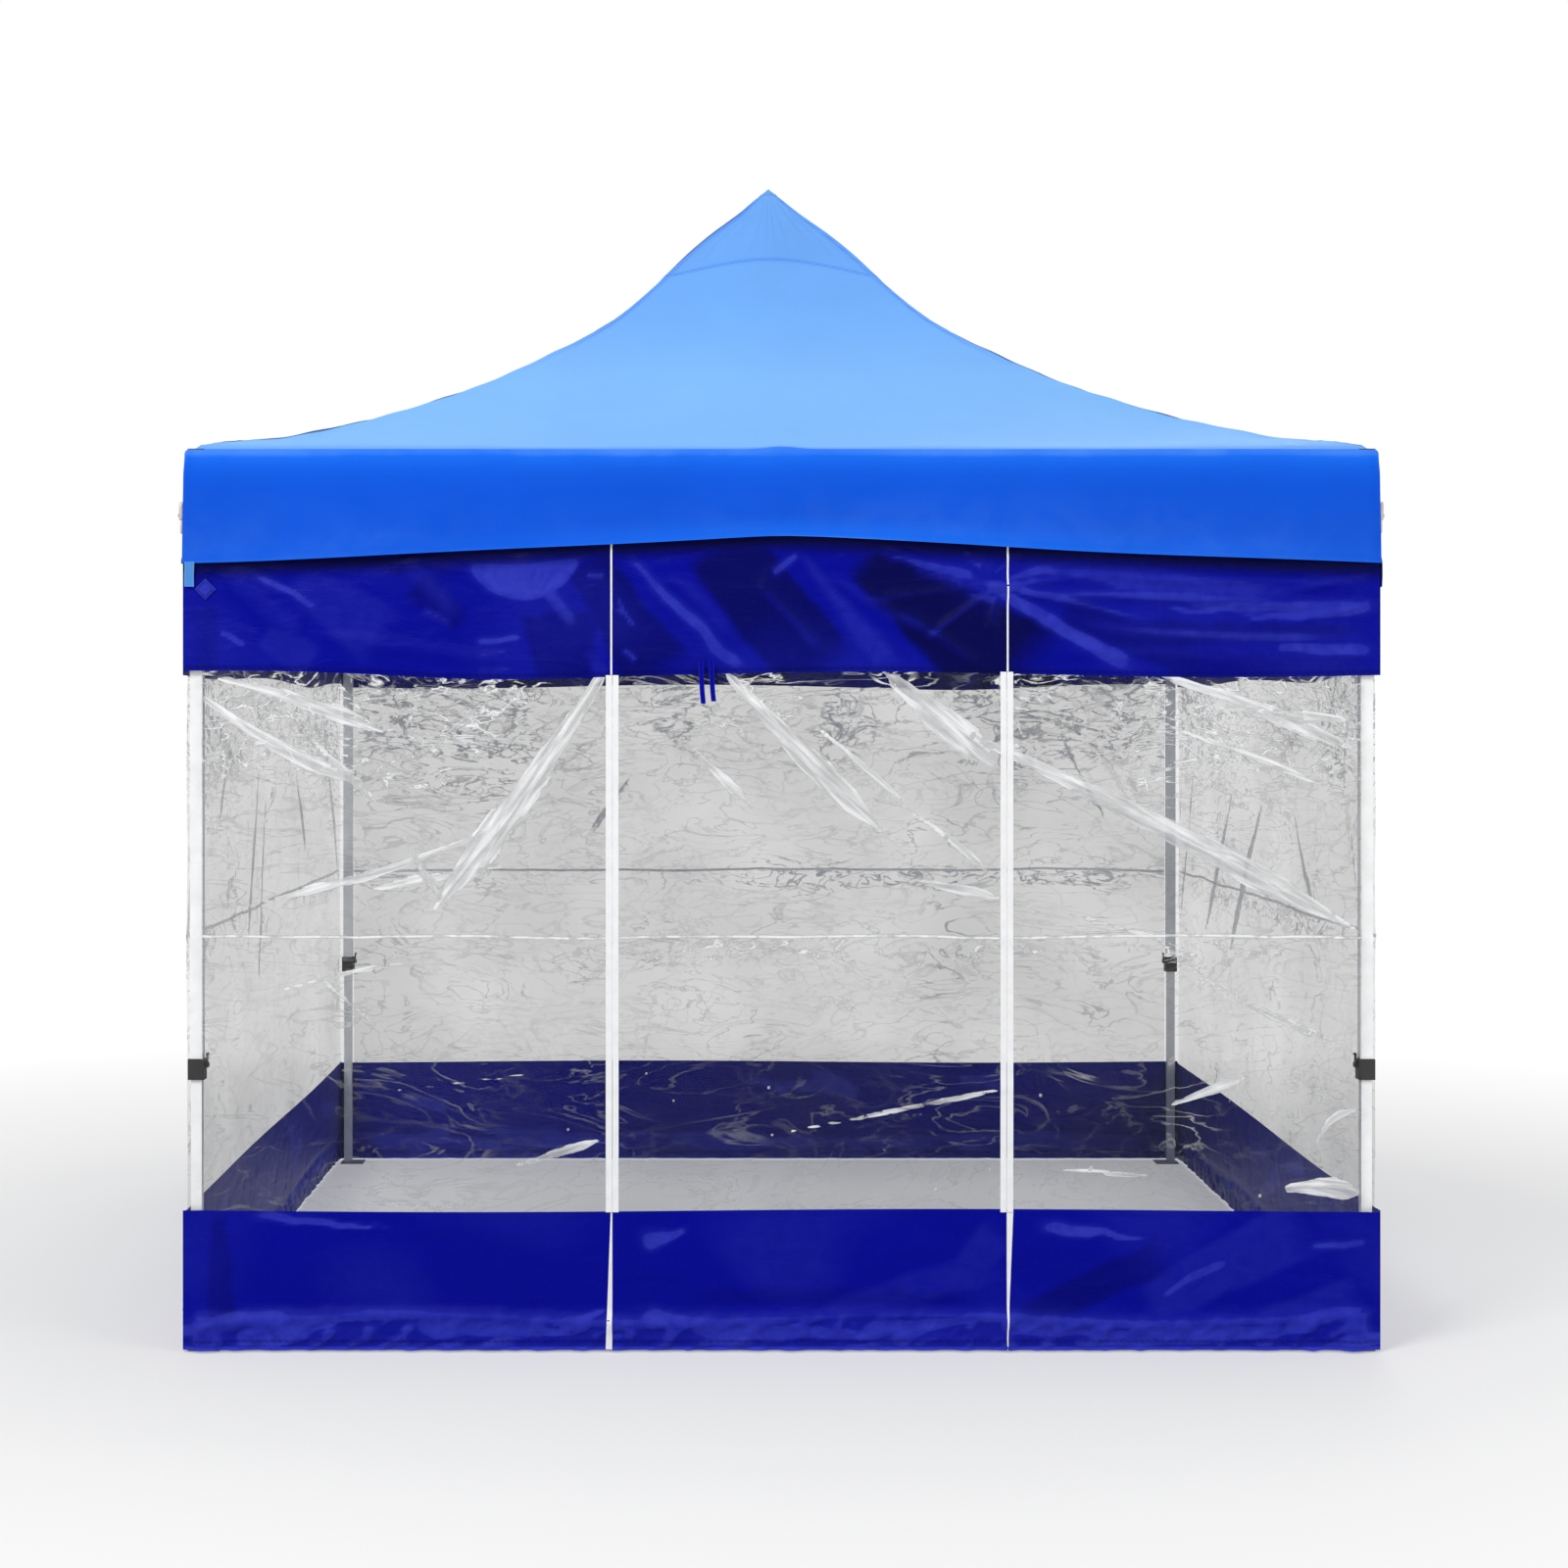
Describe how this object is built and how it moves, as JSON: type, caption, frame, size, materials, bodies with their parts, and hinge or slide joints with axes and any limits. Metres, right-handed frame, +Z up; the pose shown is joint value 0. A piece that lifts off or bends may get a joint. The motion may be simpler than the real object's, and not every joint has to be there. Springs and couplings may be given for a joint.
{
  "type": "pop up canopy",
  "caption": "Square pop up canopy with a folding scissor frame, a peaked fabric roof with a valance, and side walls with clear windows and a zipped door.",
  "frame": {"origin": "centre of the four feet on the ground", "axes": "+Z up, the door in the wall on the -Y side, +X to the right of someone who faces the door from outside"},
  "size_m": [3, 3, 3.205],
  "materials": {
    "roof_fabric": "matte",
    "wall_fabric": "satin",
    "frame_paint": "satin",
    "fitting_plastic": "matte",
    "mast_aluminium": "satin",
    "zip_plastic": "satin"
  },
  "bodies": {
    "hub_and_roof": {"centre_top_hub": "fitting_plastic", "roof": "roof_fabric"},
    "front_arm_top": {"front_arm_top": "frame_paint"},
    "front_arm_low": {"front_arm_low": "frame_paint"},
    "front_mid_low": {"front_mid_low": "fitting_plastic"},
    "front_mid_top": {"front_mid_top": "fitting_plastic", "front_wall": "wall_fabric"},
    "front_bar_a_left": {"front_bar_a_left": "frame_paint"},
    "front_bar_b_left": {"front_bar_b_left": "frame_paint"},
    "outer_leg_front_left": {"outer_leg_front_left": "frame_paint"},
    "slider_front_left": {"slider_front_left": "fitting_plastic"},
    "inner_leg_front_left": {"inner_leg_front_left": "frame_paint"},
    "latch_lever_front_left": {"latch_lever_front_left": "fitting_plastic"},
    "front_bar_a_right": {"front_bar_a_right": "frame_paint"},
    "front_bar_b_right": {"front_bar_b_right": "frame_paint"},
    "outer_leg_front_right": {"outer_leg_front_right": "frame_paint"},
    "slider_front_right": {"slider_front_right": "fitting_plastic"},
    "inner_leg_front_right": {"inner_leg_front_right": "frame_paint"},
    "latch_lever_front_right": {"latch_lever_front_right": "fitting_plastic"},
    "right_arm_top": {"right_arm_top": "frame_paint"},
    "right_arm_low": {"right_arm_low": "frame_paint"},
    "right_mid_low": {"right_mid_low": "fitting_plastic"},
    "right_mid_top": {"right_mid_top": "fitting_plastic", "right_wall": "wall_fabric"},
    "right_bar_a_front": {"right_bar_a_front": "frame_paint"},
    "right_bar_b_front": {"right_bar_b_front": "frame_paint"},
    "right_bar_a_back": {"right_bar_a_back": "frame_paint"},
    "right_bar_b_back": {"right_bar_b_back": "frame_paint"},
    "back_arm_top": {"back_arm_top": "frame_paint"},
    "back_arm_low": {"back_arm_low": "frame_paint"},
    "back_mid_low": {"back_mid_low": "fitting_plastic"},
    "back_mid_top": {"back_mid_top": "fitting_plastic", "back_wall": "wall_fabric"},
    "back_bar_a_right": {"back_bar_a_right": "frame_paint"},
    "back_bar_b_right": {"back_bar_b_right": "frame_paint"},
    "outer_leg_back_right": {"outer_leg_back_right": "frame_paint"},
    "slider_back_right": {"slider_back_right": "fitting_plastic"},
    "inner_leg_back_right": {"inner_leg_back_right": "frame_paint"},
    "latch_lever_back_right": {"latch_lever_back_right": "fitting_plastic"},
    "back_bar_a_left": {"back_bar_a_left": "frame_paint"},
    "back_bar_b_left": {"back_bar_b_left": "frame_paint"},
    "outer_leg_back_left": {"outer_leg_back_left": "frame_paint"},
    "slider_back_left": {"slider_back_left": "fitting_plastic"},
    "inner_leg_back_left": {"inner_leg_back_left": "frame_paint"},
    "latch_lever_back_left": {"latch_lever_back_left": "fitting_plastic"},
    "left_arm_top": {"left_arm_top": "frame_paint"},
    "left_arm_low": {"left_arm_low": "frame_paint"},
    "left_mid_low": {"left_mid_low": "fitting_plastic"},
    "left_mid_top": {"left_mid_top": "fitting_plastic", "left_wall": "wall_fabric"},
    "left_bar_a_back": {"left_bar_a_back": "frame_paint"},
    "left_bar_b_back": {"left_bar_b_back": "frame_paint"},
    "left_bar_a_front": {"left_bar_a_front": "frame_paint"},
    "left_bar_b_front": {"left_bar_b_front": "frame_paint"},
    "centre_low_hub": {"centre_low_hub": "fitting_plastic", "mast_tube_low": "mast_aluminium"},
    "mast_rod": {"mast_rod_cap": "mast_aluminium"},
    "door": {"door_panel": "wall_fabric"},
    "zip_pull_left": {"zip_pull_left": "zip_plastic"},
    "zip_pull_right": {"zip_pull_right": "zip_plastic"}
  },
  "joints": [
    {"name": "front_arm_fold", "type": "hinge", "parent": "hub_and_roof", "child": "front_arm_top", "pos_m": [0.0075, -0.032, 2.225], "axis": [1, 0, 0], "range_deg": [0, 71.5], "deforming": ["roof", "front_wall", "right_wall", "back_wall", "left_wall", "door_panel"]},
    {"name": "front_arm_cross", "type": "hinge", "parent": "front_arm_top", "child": "front_arm_low", "pos_m": [0, -0.7354, 2.045], "axis": [-1, 0, 0], "range_deg": [0, 143]},
    {"name": "front_mid_low_turn", "type": "hinge", "parent": "front_arm_top", "child": "front_mid_low", "pos_m": [0.0075, -1.4388, 1.865], "axis": [-1, 0, 0], "range_deg": [0, 71.5]},
    {"name": "front_mid_top_turn", "type": "hinge", "parent": "front_arm_low", "child": "front_mid_top", "pos_m": [-0.0075, -1.4388, 2.225], "axis": [1, 0, 0], "range_deg": [0, 71.5]},
    {"name": "front_bar_a_left_turn", "type": "hinge", "parent": "front_mid_low", "child": "front_bar_a_left", "pos_m": [-0.026, -1.4803, 1.865], "axis": [0, 1, 0], "range_deg": [0, 71.5]},
    {"name": "front_bar_b_left_cross", "type": "hinge", "parent": "front_bar_a_left", "child": "front_bar_b_left", "pos_m": [-0.7294, -1.4803, 2.045], "axis": [0, -1, 0], "range_deg": [0, 143]},
    {"name": "outer_leg_front_left_turn", "type": "hinge", "parent": "front_bar_a_left", "child": "outer_leg_front_left", "pos_m": [-1.4328, -1.4803, 2.225], "axis": [0, -1, 0], "range_deg": [0, 71.5]},
    {"name": "slider_front_left_turn", "type": "hinge", "parent": "front_bar_b_left", "child": "slider_front_left", "pos_m": [-1.4328, -1.4653, 1.865], "axis": [0, 1, 0], "range_deg": [0, 71.5]},
    {"name": "inner_leg_front_left_slide", "type": "slide", "parent": "outer_leg_front_left", "child": "inner_leg_front_left", "axis": [0, 0, 1], "range_m": [0, 0.62]},
    {"name": "latch_lever_front_left_press", "type": "hinge", "parent": "outer_leg_front_left", "child": "latch_lever_front_left", "pos_m": [-1.4478, -1.4728, 0.718], "axis": [0, 1, 0], "range_deg": [0, 25]},
    {"name": "front_bar_a_right_turn", "type": "hinge", "parent": "front_mid_low", "child": "front_bar_a_right", "pos_m": [0.026, -1.4803, 1.865], "axis": [0, -1, 0], "range_deg": [0, 71.5]},
    {"name": "front_bar_b_right_cross", "type": "hinge", "parent": "front_bar_a_right", "child": "front_bar_b_right", "pos_m": [0.7294, -1.4803, 2.045], "axis": [0, 1, 0], "range_deg": [0, 143]},
    {"name": "outer_leg_front_right_turn", "type": "hinge", "parent": "front_bar_a_right", "child": "outer_leg_front_right", "pos_m": [1.4328, -1.4803, 2.225], "axis": [0, 1, 0], "range_deg": [0, 71.5]},
    {"name": "slider_front_right_turn", "type": "hinge", "parent": "front_bar_b_right", "child": "slider_front_right", "pos_m": [1.4328, -1.4653, 1.865], "axis": [0, -1, 0], "range_deg": [0, 71.5]},
    {"name": "inner_leg_front_right_slide", "type": "slide", "parent": "outer_leg_front_right", "child": "inner_leg_front_right", "axis": [0, 0, 1], "range_m": [0, 0.62]},
    {"name": "latch_lever_front_right_press", "type": "hinge", "parent": "outer_leg_front_right", "child": "latch_lever_front_right", "pos_m": [1.4478, -1.4728, 0.718], "axis": [0, -1, 0], "range_deg": [0, 25]},
    {"name": "right_arm_fold", "type": "hinge", "parent": "hub_and_roof", "child": "right_arm_top", "pos_m": [0.032, 0.0075, 2.225], "axis": [0, 1, 0], "range_deg": [0, 71.5]},
    {"name": "right_arm_cross", "type": "hinge", "parent": "right_arm_top", "child": "right_arm_low", "pos_m": [0.7354, 0, 2.045], "axis": [0, -1, 0], "range_deg": [0, 143]},
    {"name": "right_mid_low_turn", "type": "hinge", "parent": "right_arm_top", "child": "right_mid_low", "pos_m": [1.4388, 0.0075, 1.865], "axis": [0, -1, 0], "range_deg": [0, 71.5]},
    {"name": "right_mid_top_turn", "type": "hinge", "parent": "right_arm_low", "child": "right_mid_top", "pos_m": [1.4388, -0.0075, 2.225], "axis": [0, 1, 0], "range_deg": [0, 71.5]},
    {"name": "right_bar_a_front_turn", "type": "hinge", "parent": "right_mid_low", "child": "right_bar_a_front", "pos_m": [1.4803, -0.026, 1.865], "axis": [-1, 0, 0], "range_deg": [0, 71.5]},
    {"name": "right_bar_b_front_cross", "type": "hinge", "parent": "right_bar_a_front", "child": "right_bar_b_front", "pos_m": [1.4803, -0.7294, 2.045], "axis": [1, 0, 0], "range_deg": [0, 143]},
    {"name": "right_bar_a_back_turn", "type": "hinge", "parent": "right_mid_low", "child": "right_bar_a_back", "pos_m": [1.4803, 0.026, 1.865], "axis": [1, 0, 0], "range_deg": [0, 71.5]},
    {"name": "right_bar_b_back_cross", "type": "hinge", "parent": "right_bar_a_back", "child": "right_bar_b_back", "pos_m": [1.4803, 0.7294, 2.045], "axis": [-1, 0, 0], "range_deg": [0, 143]},
    {"name": "back_arm_fold", "type": "hinge", "parent": "hub_and_roof", "child": "back_arm_top", "pos_m": [-0.0075, 0.032, 2.225], "axis": [-1, 0, 0], "range_deg": [0, 71.5]},
    {"name": "back_arm_cross", "type": "hinge", "parent": "back_arm_top", "child": "back_arm_low", "pos_m": [0, 0.7354, 2.045], "axis": [1, 0, 0], "range_deg": [0, 143]},
    {"name": "back_mid_low_turn", "type": "hinge", "parent": "back_arm_top", "child": "back_mid_low", "pos_m": [-0.0075, 1.4388, 1.865], "axis": [1, 0, 0], "range_deg": [0, 71.5]},
    {"name": "back_mid_top_turn", "type": "hinge", "parent": "back_arm_low", "child": "back_mid_top", "pos_m": [0.0075, 1.4388, 2.225], "axis": [-1, 0, 0], "range_deg": [0, 71.5]},
    {"name": "back_bar_a_right_turn", "type": "hinge", "parent": "back_mid_low", "child": "back_bar_a_right", "pos_m": [0.026, 1.4803, 1.865], "axis": [0, -1, 0], "range_deg": [0, 71.5]},
    {"name": "back_bar_b_right_cross", "type": "hinge", "parent": "back_bar_a_right", "child": "back_bar_b_right", "pos_m": [0.7294, 1.4803, 2.045], "axis": [0, 1, 0], "range_deg": [0, 143]},
    {"name": "outer_leg_back_right_turn", "type": "hinge", "parent": "back_bar_a_right", "child": "outer_leg_back_right", "pos_m": [1.4328, 1.4803, 2.225], "axis": [0, 1, 0], "range_deg": [0, 71.5]},
    {"name": "slider_back_right_turn", "type": "hinge", "parent": "back_bar_b_right", "child": "slider_back_right", "pos_m": [1.4328, 1.4653, 1.865], "axis": [0, -1, 0], "range_deg": [0, 71.5]},
    {"name": "inner_leg_back_right_slide", "type": "slide", "parent": "outer_leg_back_right", "child": "inner_leg_back_right", "axis": [0, 0, 1], "range_m": [0, 0.62]},
    {"name": "latch_lever_back_right_press", "type": "hinge", "parent": "outer_leg_back_right", "child": "latch_lever_back_right", "pos_m": [1.4478, 1.4728, 0.718], "axis": [0, -1, 0], "range_deg": [0, 25]},
    {"name": "back_bar_a_left_turn", "type": "hinge", "parent": "back_mid_low", "child": "back_bar_a_left", "pos_m": [-0.026, 1.4803, 1.865], "axis": [0, 1, 0], "range_deg": [0, 71.5]},
    {"name": "back_bar_b_left_cross", "type": "hinge", "parent": "back_bar_a_left", "child": "back_bar_b_left", "pos_m": [-0.7294, 1.4803, 2.045], "axis": [0, -1, 0], "range_deg": [0, 143]},
    {"name": "outer_leg_back_left_turn", "type": "hinge", "parent": "back_bar_a_left", "child": "outer_leg_back_left", "pos_m": [-1.4328, 1.4803, 2.225], "axis": [0, -1, 0], "range_deg": [0, 71.5]},
    {"name": "slider_back_left_turn", "type": "hinge", "parent": "back_bar_b_left", "child": "slider_back_left", "pos_m": [-1.4328, 1.4653, 1.865], "axis": [0, 1, 0], "range_deg": [0, 71.5]},
    {"name": "inner_leg_back_left_slide", "type": "slide", "parent": "outer_leg_back_left", "child": "inner_leg_back_left", "axis": [0, 0, 1], "range_m": [0, 0.62]},
    {"name": "latch_lever_back_left_press", "type": "hinge", "parent": "outer_leg_back_left", "child": "latch_lever_back_left", "pos_m": [-1.4478, 1.4728, 0.718], "axis": [0, 1, 0], "range_deg": [0, 25]},
    {"name": "left_arm_fold", "type": "hinge", "parent": "hub_and_roof", "child": "left_arm_top", "pos_m": [-0.032, -0.0075, 2.225], "axis": [0, -1, 0], "range_deg": [0, 71.5]},
    {"name": "left_arm_cross", "type": "hinge", "parent": "left_arm_top", "child": "left_arm_low", "pos_m": [-0.7354, 0, 2.045], "axis": [0, 1, 0], "range_deg": [0, 143]},
    {"name": "left_mid_low_turn", "type": "hinge", "parent": "left_arm_top", "child": "left_mid_low", "pos_m": [-1.4388, -0.0075, 1.865], "axis": [0, 1, 0], "range_deg": [0, 71.5]},
    {"name": "left_mid_top_turn", "type": "hinge", "parent": "left_arm_low", "child": "left_mid_top", "pos_m": [-1.4388, 0.0075, 2.225], "axis": [0, -1, 0], "range_deg": [0, 71.5]},
    {"name": "left_bar_a_back_turn", "type": "hinge", "parent": "left_mid_low", "child": "left_bar_a_back", "pos_m": [-1.4803, 0.026, 1.865], "axis": [1, 0, 0], "range_deg": [0, 71.5]},
    {"name": "left_bar_b_back_cross", "type": "hinge", "parent": "left_bar_a_back", "child": "left_bar_b_back", "pos_m": [-1.4803, 0.7294, 2.045], "axis": [-1, 0, 0], "range_deg": [0, 143]},
    {"name": "left_bar_a_front_turn", "type": "hinge", "parent": "left_mid_low", "child": "left_bar_a_front", "pos_m": [-1.4803, -0.026, 1.865], "axis": [-1, 0, 0], "range_deg": [0, 71.5]},
    {"name": "left_bar_b_front_cross", "type": "hinge", "parent": "left_bar_a_front", "child": "left_bar_b_front", "pos_m": [-1.4803, -0.7294, 2.045], "axis": [1, 0, 0], "range_deg": [0, 143]},
    {"name": "centre_low_hub_turn", "type": "hinge", "parent": "front_arm_low", "child": "centre_low_hub", "pos_m": [-0.0075, -0.032, 1.865], "axis": [1, 0, 0], "range_deg": [0, 71.5]},
    {"name": "mast_rod_slide", "type": "slide", "parent": "centre_low_hub", "child": "mast_rod", "axis": [0, 0, 1], "range_m": [0, 0.21]},
    {"name": "door_swing", "type": "hinge", "parent": "front_mid_top", "child": "door", "pos_m": [0, -1.4985, 1.96], "axis": [1, 0, 0], "range_deg": [-85, 0]},
    {"name": "zip_pull_left_slide", "type": "slide", "parent": "front_mid_top", "child": "zip_pull_left", "axis": [0, 0, 1], "range_m": [0, 1.87]},
    {"name": "zip_pull_right_slide", "type": "slide", "parent": "front_mid_top", "child": "zip_pull_right", "axis": [0, 0, 1], "range_m": [0, 1.87]}
  ],
  "couplings": [
    {"joint": "front_mid_low_turn", "follows": "front_arm_fold", "ratio": 1},
    {"joint": "front_mid_top_turn", "follows": "front_arm_fold", "ratio": 1},
    {"joint": "front_arm_cross", "follows": "front_arm_fold", "ratio": 2},
    {"joint": "front_bar_a_left_turn", "follows": "front_arm_fold", "ratio": 1},
    {"joint": "front_bar_b_left_cross", "follows": "front_arm_fold", "ratio": 2},
    {"joint": "outer_leg_front_left_turn", "follows": "front_arm_fold", "ratio": 1},
    {"joint": "slider_front_left_turn", "follows": "front_arm_fold", "ratio": 1},
    {"joint": "front_bar_a_right_turn", "follows": "front_arm_fold", "ratio": 1},
    {"joint": "front_bar_b_right_cross", "follows": "front_arm_fold", "ratio": 2},
    {"joint": "outer_leg_front_right_turn", "follows": "front_arm_fold", "ratio": 1},
    {"joint": "slider_front_right_turn", "follows": "front_arm_fold", "ratio": 1},
    {"joint": "right_mid_low_turn", "follows": "front_arm_fold", "ratio": 1},
    {"joint": "right_mid_top_turn", "follows": "front_arm_fold", "ratio": 1},
    {"joint": "right_arm_cross", "follows": "front_arm_fold", "ratio": 2},
    {"joint": "right_arm_fold", "follows": "front_arm_fold", "ratio": 1},
    {"joint": "right_bar_a_front_turn", "follows": "front_arm_fold", "ratio": 1},
    {"joint": "right_bar_b_front_cross", "follows": "front_arm_fold", "ratio": 2},
    {"joint": "right_bar_a_back_turn", "follows": "front_arm_fold", "ratio": 1},
    {"joint": "right_bar_b_back_cross", "follows": "front_arm_fold", "ratio": 2},
    {"joint": "back_mid_low_turn", "follows": "front_arm_fold", "ratio": 1},
    {"joint": "back_mid_top_turn", "follows": "front_arm_fold", "ratio": 1},
    {"joint": "back_arm_cross", "follows": "front_arm_fold", "ratio": 2},
    {"joint": "back_arm_fold", "follows": "front_arm_fold", "ratio": 1},
    {"joint": "back_bar_a_right_turn", "follows": "front_arm_fold", "ratio": 1},
    {"joint": "back_bar_b_right_cross", "follows": "front_arm_fold", "ratio": 2},
    {"joint": "outer_leg_back_right_turn", "follows": "front_arm_fold", "ratio": 1},
    {"joint": "slider_back_right_turn", "follows": "front_arm_fold", "ratio": 1},
    {"joint": "back_bar_a_left_turn", "follows": "front_arm_fold", "ratio": 1},
    {"joint": "back_bar_b_left_cross", "follows": "front_arm_fold", "ratio": 2},
    {"joint": "outer_leg_back_left_turn", "follows": "front_arm_fold", "ratio": 1},
    {"joint": "slider_back_left_turn", "follows": "front_arm_fold", "ratio": 1},
    {"joint": "left_mid_low_turn", "follows": "front_arm_fold", "ratio": 1},
    {"joint": "left_mid_top_turn", "follows": "front_arm_fold", "ratio": 1},
    {"joint": "left_arm_cross", "follows": "front_arm_fold", "ratio": 2},
    {"joint": "left_arm_fold", "follows": "front_arm_fold", "ratio": 1},
    {"joint": "left_bar_a_back_turn", "follows": "front_arm_fold", "ratio": 1},
    {"joint": "left_bar_b_back_cross", "follows": "front_arm_fold", "ratio": 2},
    {"joint": "left_bar_a_front_turn", "follows": "front_arm_fold", "ratio": 1},
    {"joint": "left_bar_b_front_cross", "follows": "front_arm_fold", "ratio": 2},
    {"joint": "centre_low_hub_turn", "follows": "front_arm_fold", "ratio": 1},
    {"joint": "mast_rod_slide", "follows": "front_arm_fold", "m_per_rad": 0.165}
  ]
}
